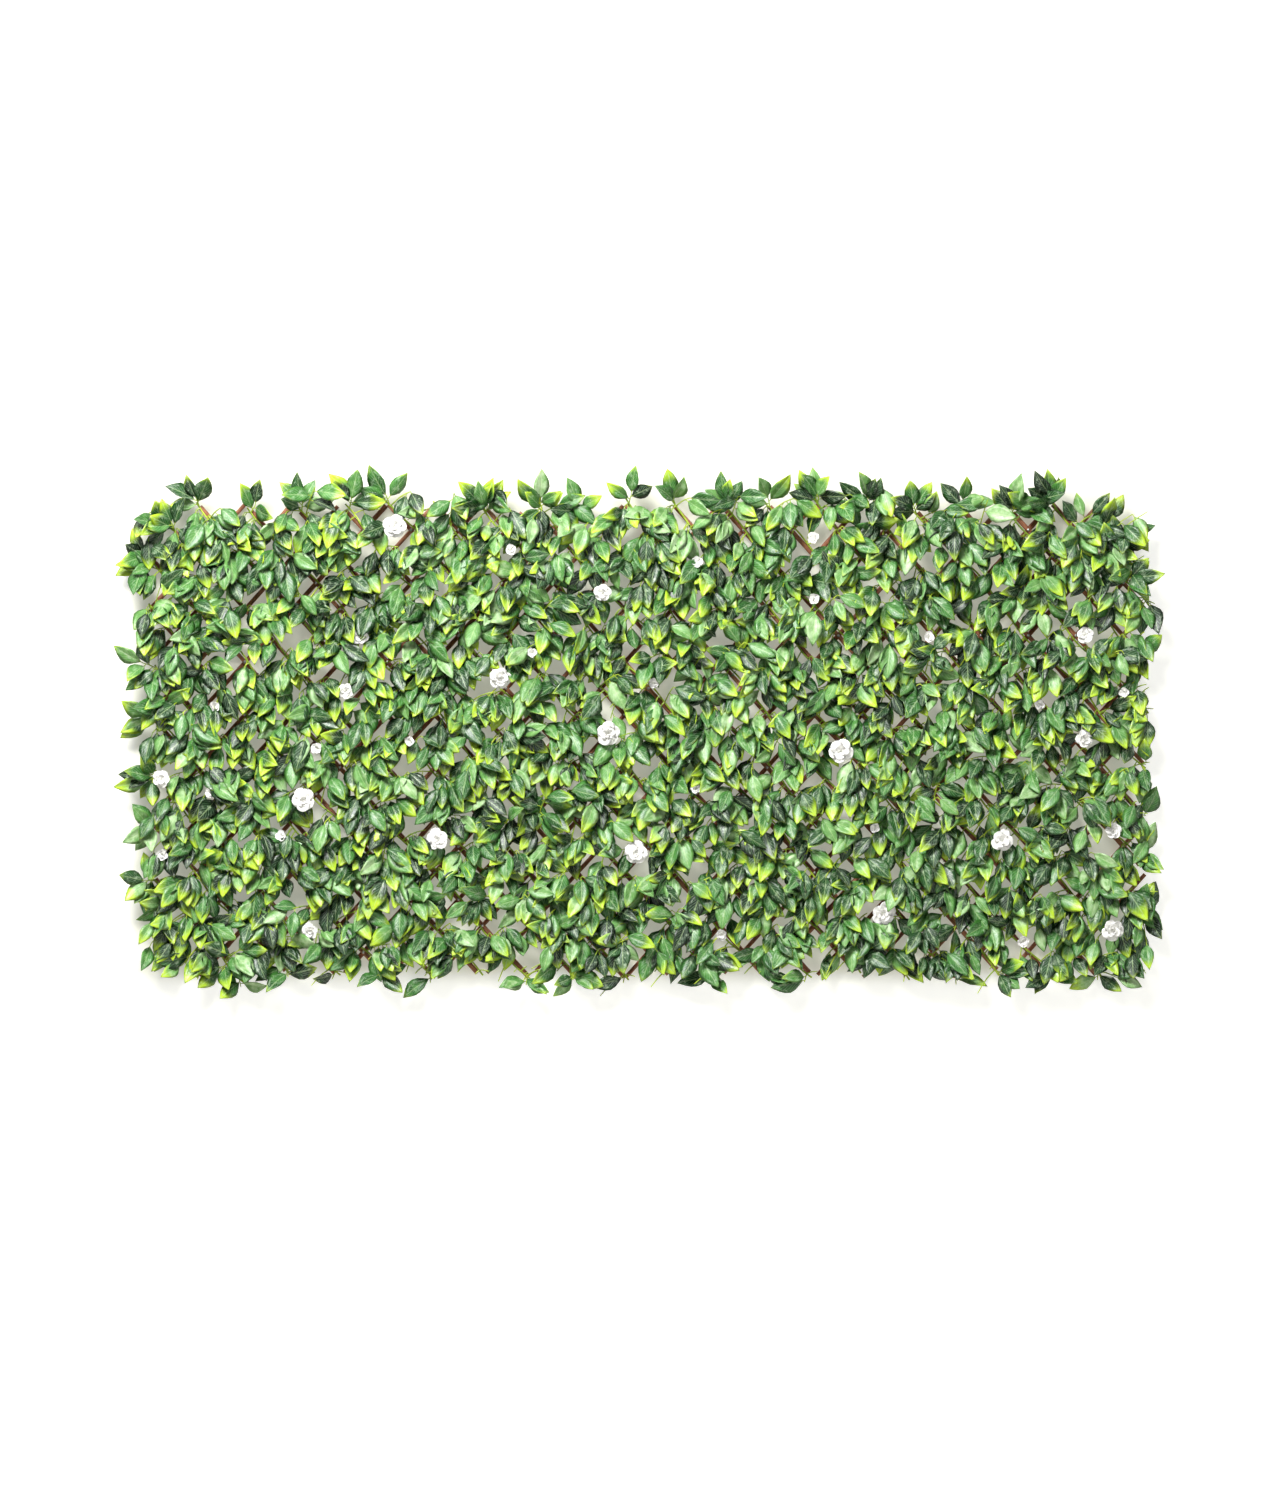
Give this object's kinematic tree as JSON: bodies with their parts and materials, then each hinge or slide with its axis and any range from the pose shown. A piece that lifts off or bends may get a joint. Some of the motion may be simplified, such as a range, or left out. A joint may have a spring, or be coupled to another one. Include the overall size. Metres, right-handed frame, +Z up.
{
  "type": "artificial willow trellis",
  "caption": "Expanding diamond trellis of crossed willow sticks with artificial leaf garlands, for screening a wall or fence.",
  "frame": {"origin": "centre of the rear face of the centre nail, on the wall plane behind the trellis", "axes": "+X along the trellis to the right seen from the front, +Y into the wall, +Z up; the leafy front faces -Y"},
  "size_m": [2.0201, 0.0746, 1.047],
  "materials": {
    "willow_bark": "natural reddish brown bark, matt",
    "vine_plastic": "variegated green leaf, satin",
    "nail_steel": "dull"
  },
  "bodies": {
    "centre_nail": {"centre_nail": "nail_steel"},
    "front_stick_01": {"front_stick_01": "willow_bark"},
    "front_stick_02": {"front_stick_02": "willow_bark", "garland_1": "vine_plastic"},
    "front_stick_03": {"front_stick_03": "willow_bark"},
    "front_stick_04": {"front_stick_04": "willow_bark"},
    "front_stick_05": {"front_stick_05": "willow_bark"},
    "front_stick_06": {"front_stick_06": "willow_bark"},
    "front_stick_07": {"front_stick_07": "willow_bark"},
    "front_stick_08": {"front_stick_08": "willow_bark", "garland_2": "vine_plastic"},
    "front_stick_09": {"front_stick_09": "willow_bark"},
    "front_stick_10": {"front_stick_10": "willow_bark"},
    "front_stick_11": {"front_stick_11": "willow_bark"},
    "front_stick_12": {"front_stick_12": "willow_bark"},
    "front_stick_13": {"front_stick_13": "willow_bark"},
    "front_stick_14": {"front_stick_14": "willow_bark", "garland_3": "vine_plastic"},
    "front_stick_15": {"front_stick_15": "willow_bark"},
    "front_stick_16": {"front_stick_16": "willow_bark"},
    "front_stick_17": {"front_stick_17": "willow_bark"},
    "front_stick_18": {"front_stick_18": "willow_bark"},
    "front_stick_19": {"front_stick_19": "willow_bark"},
    "front_stick_20": {"front_stick_20": "willow_bark", "garland_4": "vine_plastic"},
    "front_stick_21": {"front_stick_21": "willow_bark"},
    "front_stick_22": {"front_stick_22": "willow_bark"},
    "front_stick_23": {"front_stick_23": "willow_bark"},
    "front_stick_24": {"front_stick_24": "willow_bark"},
    "front_stick_25": {"front_stick_25": "willow_bark"},
    "front_stick_26": {"front_stick_26": "willow_bark", "garland_5": "vine_plastic"},
    "front_stick_27": {"front_stick_27": "willow_bark"},
    "back_stick_01": {"back_stick_01": "willow_bark"},
    "back_stick_02": {"back_stick_02": "willow_bark"},
    "back_stick_03": {"back_stick_03": "willow_bark"},
    "back_stick_04": {"back_stick_04": "willow_bark"},
    "back_stick_05": {"back_stick_05": "willow_bark"},
    "back_stick_06": {"back_stick_06": "willow_bark"},
    "back_stick_07": {"back_stick_07": "willow_bark"},
    "back_stick_08": {"back_stick_08": "willow_bark"},
    "back_stick_09": {"back_stick_09": "willow_bark"},
    "back_stick_10": {"back_stick_10": "willow_bark"},
    "back_stick_11": {"back_stick_11": "willow_bark"},
    "back_stick_12": {"back_stick_12": "willow_bark"},
    "back_stick_13": {"back_stick_13": "willow_bark"},
    "back_stick_14": {"back_stick_14": "willow_bark"},
    "back_stick_15": {"back_stick_15": "willow_bark"},
    "back_stick_16": {"back_stick_16": "willow_bark"},
    "back_stick_17": {"back_stick_17": "willow_bark"},
    "back_stick_18": {"back_stick_18": "willow_bark"},
    "back_stick_19": {"back_stick_19": "willow_bark"},
    "back_stick_20": {"back_stick_20": "willow_bark"},
    "back_stick_21": {"back_stick_21": "willow_bark"},
    "back_stick_22": {"back_stick_22": "willow_bark"},
    "back_stick_23": {"back_stick_23": "willow_bark"},
    "back_stick_24": {"back_stick_24": "willow_bark"},
    "back_stick_25": {"back_stick_25": "willow_bark"},
    "back_stick_26": {"back_stick_26": "willow_bark"},
    "back_stick_27": {"back_stick_27": "willow_bark"}
  },
  "joints": [
    {"name": "front_stick_01_pivot", "type": "hinge", "parent": "back_stick_08", "child": "front_stick_01", "pos_m": [-0.85816, -0.01139, -0.35114], "axis": [0, 1, 0], "range_deg": [-16, 64]},
    {"name": "front_stick_02_pivot", "type": "hinge", "parent": "back_stick_08", "child": "front_stick_02", "pos_m": [-0.81299, -0.01139, -0.30097], "axis": [0, 1, 0], "range_deg": [-16, 64], "deforming": ["garland_1"]},
    {"name": "front_stick_03_pivot", "type": "hinge", "parent": "back_stick_08", "child": "front_stick_03", "pos_m": [-0.76783, -0.01139, -0.25081], "axis": [0, 1, 0], "range_deg": [-16, 64]},
    {"name": "front_stick_04_pivot", "type": "hinge", "parent": "back_stick_08", "child": "front_stick_04", "pos_m": [-0.72266, -0.01139, -0.20065], "axis": [0, 1, 0], "range_deg": [-16, 64]},
    {"name": "front_stick_05_pivot", "type": "hinge", "parent": "back_stick_08", "child": "front_stick_05", "pos_m": [-0.67749, -0.01139, -0.15049], "axis": [0, 1, 0], "range_deg": [-16, 64]},
    {"name": "front_stick_06_pivot", "type": "hinge", "parent": "back_stick_14", "child": "front_stick_06", "pos_m": [-0.36133, -0.01139, -0.4013], "axis": [0, 1, 0], "range_deg": [-16, 64]},
    {"name": "front_stick_07_pivot", "type": "hinge", "parent": "back_stick_14", "child": "front_stick_07", "pos_m": [-0.31616, -0.01139, -0.35114], "axis": [0, 1, 0], "range_deg": [-16, 64]},
    {"name": "front_stick_08_pivot", "type": "hinge", "parent": "back_stick_14", "child": "front_stick_08", "pos_m": [-0.271, -0.01139, -0.30097], "axis": [0, 1, 0], "range_deg": [-16, 64], "deforming": ["garland_2"]},
    {"name": "front_stick_09_pivot", "type": "hinge", "parent": "back_stick_14", "child": "front_stick_09", "pos_m": [-0.22583, -0.01139, -0.25081], "axis": [0, 1, 0], "range_deg": [-16, 64]},
    {"name": "front_stick_10_pivot", "type": "hinge", "parent": "back_stick_14", "child": "front_stick_10", "pos_m": [-0.18066, -0.01139, -0.20065], "axis": [0, 1, 0], "range_deg": [-16, 64]},
    {"name": "front_stick_11_pivot", "type": "hinge", "parent": "back_stick_14", "child": "front_stick_11", "pos_m": [-0.1355, -0.01139, -0.15049], "axis": [0, 1, 0], "range_deg": [-16, 64]},
    {"name": "front_stick_12_pivot", "type": "hinge", "parent": "back_stick_14", "child": "front_stick_12", "pos_m": [-0.09033, -0.01139, -0.10032], "axis": [0, 1, 0], "range_deg": [-16, 64]},
    {"name": "front_stick_13_pivot", "type": "hinge", "parent": "back_stick_14", "child": "front_stick_13", "pos_m": [-0.04517, -0.01139, -0.05016], "axis": [0, 1, 0], "range_deg": [-16, 64]},
    {"name": "fold", "type": "hinge", "parent": "centre_nail", "child": "front_stick_14", "pos_m": [0, -0.01139, 0], "axis": [0, 1, 0], "range_deg": [-8, 32], "deforming": ["garland_3"]},
    {"name": "front_stick_15_pivot", "type": "hinge", "parent": "back_stick_14", "child": "front_stick_15", "pos_m": [0.04517, -0.01139, 0.05016], "axis": [0, 1, 0], "range_deg": [-16, 64]},
    {"name": "front_stick_16_pivot", "type": "hinge", "parent": "back_stick_14", "child": "front_stick_16", "pos_m": [0.09033, -0.01139, 0.10032], "axis": [0, 1, 0], "range_deg": [-16, 64]},
    {"name": "front_stick_17_pivot", "type": "hinge", "parent": "back_stick_14", "child": "front_stick_17", "pos_m": [0.1355, -0.01139, 0.15049], "axis": [0, 1, 0], "range_deg": [-16, 64]},
    {"name": "front_stick_18_pivot", "type": "hinge", "parent": "back_stick_14", "child": "front_stick_18", "pos_m": [0.18066, -0.01139, 0.20065], "axis": [0, 1, 0], "range_deg": [-16, 64]},
    {"name": "front_stick_19_pivot", "type": "hinge", "parent": "back_stick_14", "child": "front_stick_19", "pos_m": [0.22583, -0.01139, 0.25081], "axis": [0, 1, 0], "range_deg": [-16, 64]},
    {"name": "front_stick_20_pivot", "type": "hinge", "parent": "back_stick_14", "child": "front_stick_20", "pos_m": [0.271, -0.01139, 0.30097], "axis": [0, 1, 0], "range_deg": [-16, 64], "deforming": ["garland_4"]},
    {"name": "front_stick_21_pivot", "type": "hinge", "parent": "back_stick_14", "child": "front_stick_21", "pos_m": [0.31616, -0.01139, 0.35114], "axis": [0, 1, 0], "range_deg": [-16, 64]},
    {"name": "front_stick_22_pivot", "type": "hinge", "parent": "back_stick_14", "child": "front_stick_22", "pos_m": [0.36133, -0.01139, 0.4013], "axis": [0, 1, 0], "range_deg": [-16, 64]},
    {"name": "front_stick_23_pivot", "type": "hinge", "parent": "back_stick_20", "child": "front_stick_23", "pos_m": [0.67749, -0.01139, 0.15049], "axis": [0, 1, 0], "range_deg": [-16, 64]},
    {"name": "front_stick_24_pivot", "type": "hinge", "parent": "back_stick_20", "child": "front_stick_24", "pos_m": [0.72266, -0.01139, 0.20065], "axis": [0, 1, 0], "range_deg": [-16, 64]},
    {"name": "front_stick_25_pivot", "type": "hinge", "parent": "back_stick_20", "child": "front_stick_25", "pos_m": [0.76783, -0.01139, 0.25081], "axis": [0, 1, 0], "range_deg": [-16, 64]},
    {"name": "front_stick_26_pivot", "type": "hinge", "parent": "back_stick_20", "child": "front_stick_26", "pos_m": [0.81299, -0.01139, 0.30097], "axis": [0, 1, 0], "range_deg": [-16, 64], "deforming": ["garland_5"]},
    {"name": "front_stick_27_pivot", "type": "hinge", "parent": "back_stick_20", "child": "front_stick_27", "pos_m": [0.85816, -0.01139, 0.35114], "axis": [0, 1, 0], "range_deg": [-16, 64]},
    {"name": "back_stick_01_pivot", "type": "hinge", "parent": "front_stick_08", "child": "back_stick_01", "pos_m": [-0.85816, -0.01139, 0.35114], "axis": [0, -1, 0], "range_deg": [-16, 64]},
    {"name": "back_stick_02_pivot", "type": "hinge", "parent": "front_stick_08", "child": "back_stick_02", "pos_m": [-0.81299, -0.01139, 0.30097], "axis": [0, -1, 0], "range_deg": [-16, 64]},
    {"name": "back_stick_03_pivot", "type": "hinge", "parent": "front_stick_08", "child": "back_stick_03", "pos_m": [-0.76783, -0.01139, 0.25081], "axis": [0, -1, 0], "range_deg": [-16, 64]},
    {"name": "back_stick_04_pivot", "type": "hinge", "parent": "front_stick_08", "child": "back_stick_04", "pos_m": [-0.72266, -0.01139, 0.20065], "axis": [0, -1, 0], "range_deg": [-16, 64]},
    {"name": "back_stick_05_pivot", "type": "hinge", "parent": "front_stick_08", "child": "back_stick_05", "pos_m": [-0.67749, -0.01139, 0.15049], "axis": [0, -1, 0], "range_deg": [-16, 64]},
    {"name": "back_stick_06_pivot", "type": "hinge", "parent": "front_stick_14", "child": "back_stick_06", "pos_m": [-0.36133, -0.01139, 0.4013], "axis": [0, -1, 0], "range_deg": [-16, 64]},
    {"name": "back_stick_07_pivot", "type": "hinge", "parent": "front_stick_14", "child": "back_stick_07", "pos_m": [-0.31616, -0.01139, 0.35114], "axis": [0, -1, 0], "range_deg": [-16, 64]},
    {"name": "back_stick_08_pivot", "type": "hinge", "parent": "front_stick_14", "child": "back_stick_08", "pos_m": [-0.271, -0.01139, 0.30097], "axis": [0, -1, 0], "range_deg": [-16, 64]},
    {"name": "back_stick_09_pivot", "type": "hinge", "parent": "front_stick_14", "child": "back_stick_09", "pos_m": [-0.22583, -0.01139, 0.25081], "axis": [0, -1, 0], "range_deg": [-16, 64]},
    {"name": "back_stick_10_pivot", "type": "hinge", "parent": "front_stick_14", "child": "back_stick_10", "pos_m": [-0.18066, -0.01139, 0.20065], "axis": [0, -1, 0], "range_deg": [-16, 64]},
    {"name": "back_stick_11_pivot", "type": "hinge", "parent": "front_stick_14", "child": "back_stick_11", "pos_m": [-0.1355, -0.01139, 0.15049], "axis": [0, -1, 0], "range_deg": [-16, 64]},
    {"name": "back_stick_12_pivot", "type": "hinge", "parent": "front_stick_14", "child": "back_stick_12", "pos_m": [-0.09033, -0.01139, 0.10032], "axis": [0, -1, 0], "range_deg": [-16, 64]},
    {"name": "back_stick_13_pivot", "type": "hinge", "parent": "front_stick_14", "child": "back_stick_13", "pos_m": [-0.04517, -0.01139, 0.05016], "axis": [0, -1, 0], "range_deg": [-16, 64]},
    {"name": "back_stick_14_pivot", "type": "hinge", "parent": "centre_nail", "child": "back_stick_14", "pos_m": [0, -0.01139, 0], "axis": [0, -1, 0], "range_deg": [-8, 32]},
    {"name": "back_stick_15_pivot", "type": "hinge", "parent": "front_stick_14", "child": "back_stick_15", "pos_m": [0.04517, -0.01139, -0.05016], "axis": [0, -1, 0], "range_deg": [-16, 64]},
    {"name": "back_stick_16_pivot", "type": "hinge", "parent": "front_stick_14", "child": "back_stick_16", "pos_m": [0.09033, -0.01139, -0.10032], "axis": [0, -1, 0], "range_deg": [-16, 64]},
    {"name": "back_stick_17_pivot", "type": "hinge", "parent": "front_stick_14", "child": "back_stick_17", "pos_m": [0.1355, -0.01139, -0.15049], "axis": [0, -1, 0], "range_deg": [-16, 64]},
    {"name": "back_stick_18_pivot", "type": "hinge", "parent": "front_stick_14", "child": "back_stick_18", "pos_m": [0.18066, -0.01139, -0.20065], "axis": [0, -1, 0], "range_deg": [-16, 64]},
    {"name": "back_stick_19_pivot", "type": "hinge", "parent": "front_stick_14", "child": "back_stick_19", "pos_m": [0.22583, -0.01139, -0.25081], "axis": [0, -1, 0], "range_deg": [-16, 64]},
    {"name": "back_stick_20_pivot", "type": "hinge", "parent": "front_stick_14", "child": "back_stick_20", "pos_m": [0.271, -0.01139, -0.30097], "axis": [0, -1, 0], "range_deg": [-16, 64]},
    {"name": "back_stick_21_pivot", "type": "hinge", "parent": "front_stick_14", "child": "back_stick_21", "pos_m": [0.31616, -0.01139, -0.35114], "axis": [0, -1, 0], "range_deg": [-16, 64]},
    {"name": "back_stick_22_pivot", "type": "hinge", "parent": "front_stick_14", "child": "back_stick_22", "pos_m": [0.36133, -0.01139, -0.4013], "axis": [0, -1, 0], "range_deg": [-16, 64]},
    {"name": "back_stick_23_pivot", "type": "hinge", "parent": "front_stick_20", "child": "back_stick_23", "pos_m": [0.67749, -0.01139, -0.15049], "axis": [0, -1, 0], "range_deg": [-16, 64]},
    {"name": "back_stick_24_pivot", "type": "hinge", "parent": "front_stick_20", "child": "back_stick_24", "pos_m": [0.72266, -0.01139, -0.20065], "axis": [0, -1, 0], "range_deg": [-16, 64]},
    {"name": "back_stick_25_pivot", "type": "hinge", "parent": "front_stick_20", "child": "back_stick_25", "pos_m": [0.76783, -0.01139, -0.25081], "axis": [0, -1, 0], "range_deg": [-16, 64]},
    {"name": "back_stick_26_pivot", "type": "hinge", "parent": "front_stick_20", "child": "back_stick_26", "pos_m": [0.81299, -0.01139, -0.30097], "axis": [0, -1, 0], "range_deg": [-16, 64]},
    {"name": "back_stick_27_pivot", "type": "hinge", "parent": "front_stick_20", "child": "back_stick_27", "pos_m": [0.85816, -0.01139, -0.35114], "axis": [0, -1, 0], "range_deg": [-16, 64]}
  ],
  "couplings": [
    {"joint": "front_stick_01_pivot", "follows": "fold", "ratio": 2},
    {"joint": "front_stick_02_pivot", "follows": "fold", "ratio": 2},
    {"joint": "front_stick_03_pivot", "follows": "fold", "ratio": 2},
    {"joint": "front_stick_04_pivot", "follows": "fold", "ratio": 2},
    {"joint": "front_stick_05_pivot", "follows": "fold", "ratio": 2},
    {"joint": "front_stick_06_pivot", "follows": "fold", "ratio": 2},
    {"joint": "front_stick_07_pivot", "follows": "fold", "ratio": 2},
    {"joint": "front_stick_08_pivot", "follows": "fold", "ratio": 2},
    {"joint": "front_stick_09_pivot", "follows": "fold", "ratio": 2},
    {"joint": "front_stick_10_pivot", "follows": "fold", "ratio": 2},
    {"joint": "front_stick_11_pivot", "follows": "fold", "ratio": 2},
    {"joint": "front_stick_12_pivot", "follows": "fold", "ratio": 2},
    {"joint": "front_stick_13_pivot", "follows": "fold", "ratio": 2},
    {"joint": "front_stick_15_pivot", "follows": "fold", "ratio": 2},
    {"joint": "front_stick_16_pivot", "follows": "fold", "ratio": 2},
    {"joint": "front_stick_17_pivot", "follows": "fold", "ratio": 2},
    {"joint": "front_stick_18_pivot", "follows": "fold", "ratio": 2},
    {"joint": "front_stick_19_pivot", "follows": "fold", "ratio": 2},
    {"joint": "front_stick_20_pivot", "follows": "fold", "ratio": 2},
    {"joint": "front_stick_21_pivot", "follows": "fold", "ratio": 2},
    {"joint": "front_stick_22_pivot", "follows": "fold", "ratio": 2},
    {"joint": "front_stick_23_pivot", "follows": "fold", "ratio": 2},
    {"joint": "front_stick_24_pivot", "follows": "fold", "ratio": 2},
    {"joint": "front_stick_25_pivot", "follows": "fold", "ratio": 2},
    {"joint": "front_stick_26_pivot", "follows": "fold", "ratio": 2},
    {"joint": "front_stick_27_pivot", "follows": "fold", "ratio": 2},
    {"joint": "back_stick_01_pivot", "follows": "fold", "ratio": 2},
    {"joint": "back_stick_02_pivot", "follows": "fold", "ratio": 2},
    {"joint": "back_stick_03_pivot", "follows": "fold", "ratio": 2},
    {"joint": "back_stick_04_pivot", "follows": "fold", "ratio": 2},
    {"joint": "back_stick_05_pivot", "follows": "fold", "ratio": 2},
    {"joint": "back_stick_06_pivot", "follows": "fold", "ratio": 2},
    {"joint": "back_stick_07_pivot", "follows": "fold", "ratio": 2},
    {"joint": "back_stick_08_pivot", "follows": "fold", "ratio": 2},
    {"joint": "back_stick_09_pivot", "follows": "fold", "ratio": 2},
    {"joint": "back_stick_10_pivot", "follows": "fold", "ratio": 2},
    {"joint": "back_stick_11_pivot", "follows": "fold", "ratio": 2},
    {"joint": "back_stick_12_pivot", "follows": "fold", "ratio": 2},
    {"joint": "back_stick_13_pivot", "follows": "fold", "ratio": 2},
    {"joint": "back_stick_14_pivot", "follows": "fold", "ratio": 1},
    {"joint": "back_stick_15_pivot", "follows": "fold", "ratio": 2},
    {"joint": "back_stick_16_pivot", "follows": "fold", "ratio": 2},
    {"joint": "back_stick_17_pivot", "follows": "fold", "ratio": 2},
    {"joint": "back_stick_18_pivot", "follows": "fold", "ratio": 2},
    {"joint": "back_stick_19_pivot", "follows": "fold", "ratio": 2},
    {"joint": "back_stick_20_pivot", "follows": "fold", "ratio": 2},
    {"joint": "back_stick_21_pivot", "follows": "fold", "ratio": 2},
    {"joint": "back_stick_22_pivot", "follows": "fold", "ratio": 2},
    {"joint": "back_stick_23_pivot", "follows": "fold", "ratio": 2},
    {"joint": "back_stick_24_pivot", "follows": "fold", "ratio": 2},
    {"joint": "back_stick_25_pivot", "follows": "fold", "ratio": 2},
    {"joint": "back_stick_26_pivot", "follows": "fold", "ratio": 2},
    {"joint": "back_stick_27_pivot", "follows": "fold", "ratio": 2}
  ]
}
